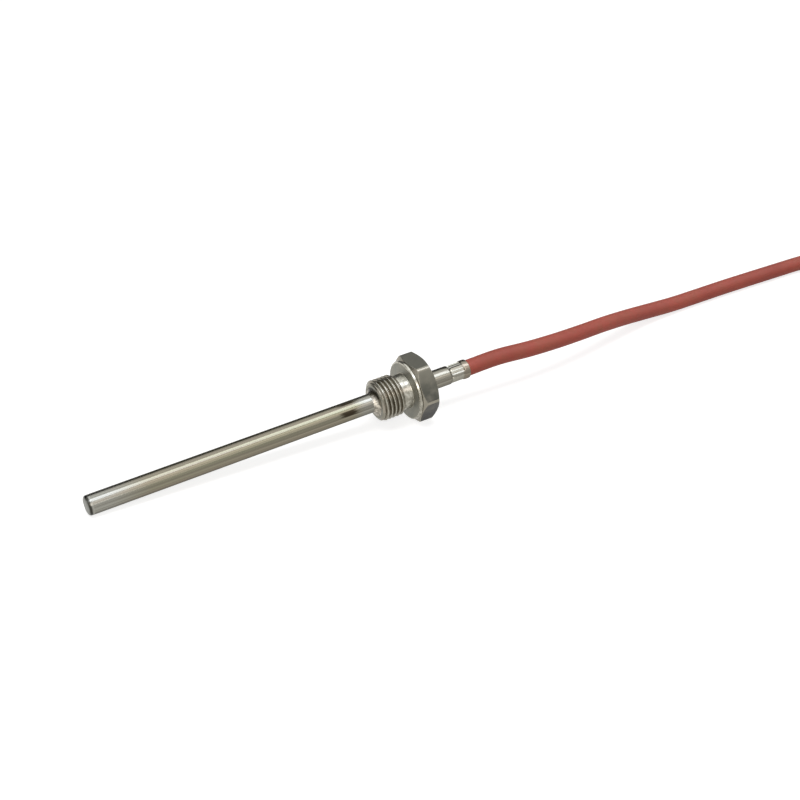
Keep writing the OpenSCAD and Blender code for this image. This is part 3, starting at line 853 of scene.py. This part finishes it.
def thread_radius(z, angle):
    cut = THREAD_R - THREAD_DEPTH * (1 - thread_height(z, angle))
    lead_in = THREAD_FRONT_R + (z - Z_THREAD) * (THREAD_R - THREAD_FRONT_R) / THREAD_LEAD
    run_out = UNDERCUT_R + (Z_UNDERCUT - z)
    return min(cut, lead_in, max(run_out, UNDERCUT_R))


def off_flat(angle):
    """The angle from the middle of the hexagon's nearest flat."""
    return abs((angle + TAU / 12) % (TAU / 6) - TAU / 12)


def hexagon(angle):
    """The hexagon's radius, its corners turned down a little."""
    return min(HEX_HALF / math.cos(off_flat(angle)), HEX_CORNER_R)


def hex_row(z_face, sign):
    """Where the end chamfer meets the flats, from the end face at z_face."""
    return lambda angle: (z_face + sign * (hexagon(angle) - HEX_FACE_R) * HEX_SLOPE, hexagon(angle))


def fitting_rows():
    edge = 0.12 * MM
    rim = COLLAR_EDGE
    rows = [(Z_NECK, SHEATH_R), (Z_THREAD, SHEATH_R), (Z_THREAD, THREAD_FRONT_R - edge)]
    for k in range(THREAD_STEPS + 1):
        z = Z_THREAD + (Z_UNDERCUT - Z_THREAD) * k / THREAD_STEPS
        rows.append(lambda angle, z=z: (z, thread_radius(z, angle)))
    rows += [(Z_SEAL - 2 * edge, UNDERCUT_R), (Z_SEAL - edge / 2, UNDERCUT_R + edge / 2),
             (Z_SEAL, UNDERCUT_R + 2 * edge), (Z_SEAL, COLLAR_R - rim),
             (Z_SEAL + 0.3 * rim, COLLAR_R - 0.3 * rim), (Z_SEAL + rim, COLLAR_R),
             (Z_HEX - edge, COLLAR_R), (Z_HEX, COLLAR_R - edge), (Z_HEX, HEX_FACE_R)]
    return rows + [hex_row(Z_HEX, 1), hex_row(Z_NECK, -1), (Z_NECK, HEX_FACE_R)]


fitting = turned_piece(
    "process_fitting_threaded", PROBE, fitting_rows(), FITTING_SIDES,
    fitting_finishes, closed=True, sharp_angle=EDGE_ANGLE,
)
to_probe = PROBE.inverted()
flats_middle = (Z_HEX + Z_NECK) / 2
corner_start = math.acos(HEX_HALF / HEX_CORNER_R)
# Crests, the undercut's bottom and the collar's rim get rim_steel, painted paler as highlight; the groove's
# bottom gets root_steel, painted darker as shade
for polygon in fitting.data.polygons:
    middle = to_probe @ polygon.center
    on_hexagon = abs(middle.z - flats_middle) < MM and middle.xy.length > HEX_FACE_R
    on_corner = off_flat(math.atan2(middle.y, middle.x)) > corner_start
    radius = middle.xy.length
    if on_hexagon and not on_corner:
        polygon.material_index = BAR
    elif Z_SEAL < middle.z < Z_HEX and radius > COLLAR_R - COLLAR_EDGE:
        polygon.material_index = RIM
    elif Z_UNDERCUT < middle.z < Z_SEAL and radius < UNDERCUT_R + UNDERCUT_RISE:
        polygon.material_index = RIM
    elif Z_THREAD < middle.z < Z_UNDERCUT and radius > THREAD_R - CREST_DEPTH:
        polygon.material_index = RIM
    elif Z_THREAD + THREAD_LEAD < middle.z < Z_UNDERCUT and radius < THREAD_R - ROOT_DEPTH:
        polygon.material_index = ROOT
    elif abs(polygon.normal.dot(along)) > FACING:
        polygon.material_index = FACED
finish_piece(fitting, "fitting_steel", "process_fitting")
bevel = fitting.modifiers.new("edges", "BEVEL")
bevel.width = 0.2 * MM
bevel.segments = 2
bevel.material = TURNED
bevel.limit_method = "ANGLE"
bevel.angle_limit = math.radians(EDGE_ANGLE)


def weld_rows():
    """A hollow fillet with the weld's overlapping beads round it."""
    beads = 26
    ripple = 0.05 * MM
    rows = [(Z_THREAD, SHEATH_R), (Z_THREAD - WELD_LEG, SHEATH_R)]
    steps = 8
    for k in range(steps + 1):
        turn_by = TAU / 4 * k / steps
        z = Z_THREAD - WELD_LEG + WELD_LEG * math.sin(turn_by)
        r = SHEATH_R + WELD_LEG - WELD_LEG * math.cos(turn_by)
        height = ripple * math.sin(math.pi * k / steps)
        rows.append(lambda angle, z=z, r=r, height=height: (z, r + height * math.sin(beads * angle)))
    return rows


weld = turned_piece("front_weld", PROBE, weld_rows(), 160, [finishes["weld_steel"]], closed=True,
                    sharp_angle=60)
finish_piece(weld, "weld_steel", "front_weld_bead")


# ---------------------------------------------------------------- floor, world and lights
def white_background(tree, seen, reflected):
    """A value for the rays that show the background, seen or reflected, and 0 for the others."""
    rays = tree.nodes.new("ShaderNodeLightPath")
    total = None
    for name, strength in (
        ("Is Camera Ray", seen), ("Is Glossy Ray", reflected), ("Is Transmission Ray", reflected),
    ):
        scale = tree.nodes.new("ShaderNodeMath")
        scale.operation = "MULTIPLY"
        scale.inputs[1].default_value = strength
        tree.links.new(rays.outputs[name], scale.inputs[0])
        if total is None:
            total = scale.outputs[0]
            continue
        larger = tree.nodes.new("ShaderNodeMath")
        larger.operation = "MAXIMUM"
        tree.links.new(total, larger.inputs[0])
        tree.links.new(scale.outputs[0], larger.inputs[1])
        total = larger.outputs[0]
    return total


FLOOR = 6.0
floor_mesh = bpy.data.meshes.new("floor")
floor_corners = [(-FLOOR, -FLOOR, 0), (FLOOR, -FLOOR, 0), (FLOOR, FLOOR, 0), (-FLOOR, FLOOR, 0)]
floor_mesh.from_pydata(floor_corners, [], [(0, 1, 2, 3)])
floor = bpy.data.objects.new("floor", floor_mesh)
bpy.context.scene.collection.objects.link(floor)
floor_material = bpy.data.materials.new("floor_white")
floor_material.use_nodes = True
tree = floor_material.node_tree
floor_shader = tree.nodes["Principled BSDF"]
floor_shader.inputs["Base Color"].default_value = (0.55, 0.55, 0.55, 1)
floor_shader.inputs["Roughness"].default_value = 1.0
floor_shader.inputs["Specular IOR Level"].default_value = 0.0
floor_shader.inputs["Emission Color"].default_value = (1, 1, 1, 1)
tree.links.new(white_background(tree, 0.72, 0.55), floor_shader.inputs["Emission Strength"])
floor_mesh.materials.append(floor_material)

world = bpy.data.worlds.new("studio")
bpy.context.scene.world = world
world.use_nodes = True
tree = world.node_tree
background = tree.nodes["Background"]
background.inputs["Color"].default_value = (1, 1, 1, 1)
level = tree.nodes.new("ShaderNodeMath")
level.operation = "ADD"
level.inputs[1].default_value = 0.35
tree.links.new(white_background(tree, 0.65, 0.65), level.inputs[0])
tree.links.new(level.outputs[0], background.inputs["Strength"])


def softbox(name, place, size, power, color, glossy=True):
    data = bpy.data.lights.new(name, "AREA")
    data.shape = "RECTANGLE"
    data.size, data.size_y = size
    data.energy = power
    data.color = color
    light = bpy.data.objects.new(name, data)
    light.location = place
    light.rotation_mode = "QUATERNION"
    light.rotation_quaternion = (-Vector(place)).to_track_quat("-Z", "Y")
    light.visible_glossy = glossy
    bpy.context.scene.collection.objects.link(light)


# The overhead light's reflection is the overhead card's
softbox("overhead_strip", (0.0, -0.05, 0.9), (1.2, 0.40), 4.5, (1, 0.985, 0.975), glossy=False)
softbox("front_fill", (-0.3, -1.0, 0.7), (0.8, 0.5), 3.8, (1, 0.97, 0.94))


def studio_card(name, low, high, color, strength):
    """A long card beside the object that only reflections see, between two angles up from the back."""
    distance, half_length = 1.3, 2.5
    corners = [(x, distance * math.cos(math.radians(a)), distance * math.sin(math.radians(a)))
               for x, a in ((-half_length, low), (half_length, low), (half_length, high), (-half_length, high))]
    mesh = bpy.data.meshes.new(name)
    mesh.from_pydata(corners, [], [(0, 1, 2, 3)])
    card = bpy.data.objects.new(name, mesh)
    bpy.context.scene.collection.objects.link(card)
    material = bpy.data.materials.new(name)
    material.use_nodes = True
    shader = material.node_tree.nodes["Principled BSDF"]
    shader.inputs["Base Color"].default_value = (0, 0, 0, 1)
    shader.inputs["Specular IOR Level"].default_value = 0.0
    shader.inputs["Roughness"].default_value = 1
    shader.inputs["Emission Color"].default_value = (*color, 1)
    shader.inputs["Emission Strength"].default_value = strength
    mesh.materials.append(material)
    card.visible_camera = False
    card.visible_diffuse = False
    card.visible_shadow = False


studio_card("back_dark", 0.5, 42, (1, 1, 1), 0.12)
studio_card("back_top", 43, 88, (0.95, 0.97, 1.0), 1.6)
studio_card("overhead", 90, 113, (0.92, 0.96, 1.08), 4.0)
studio_card("front_top", 127, 150, (1.0, 0.95, 0.95), 1.9)

bpy.context.scene.view_settings.view_transform = "Standard"
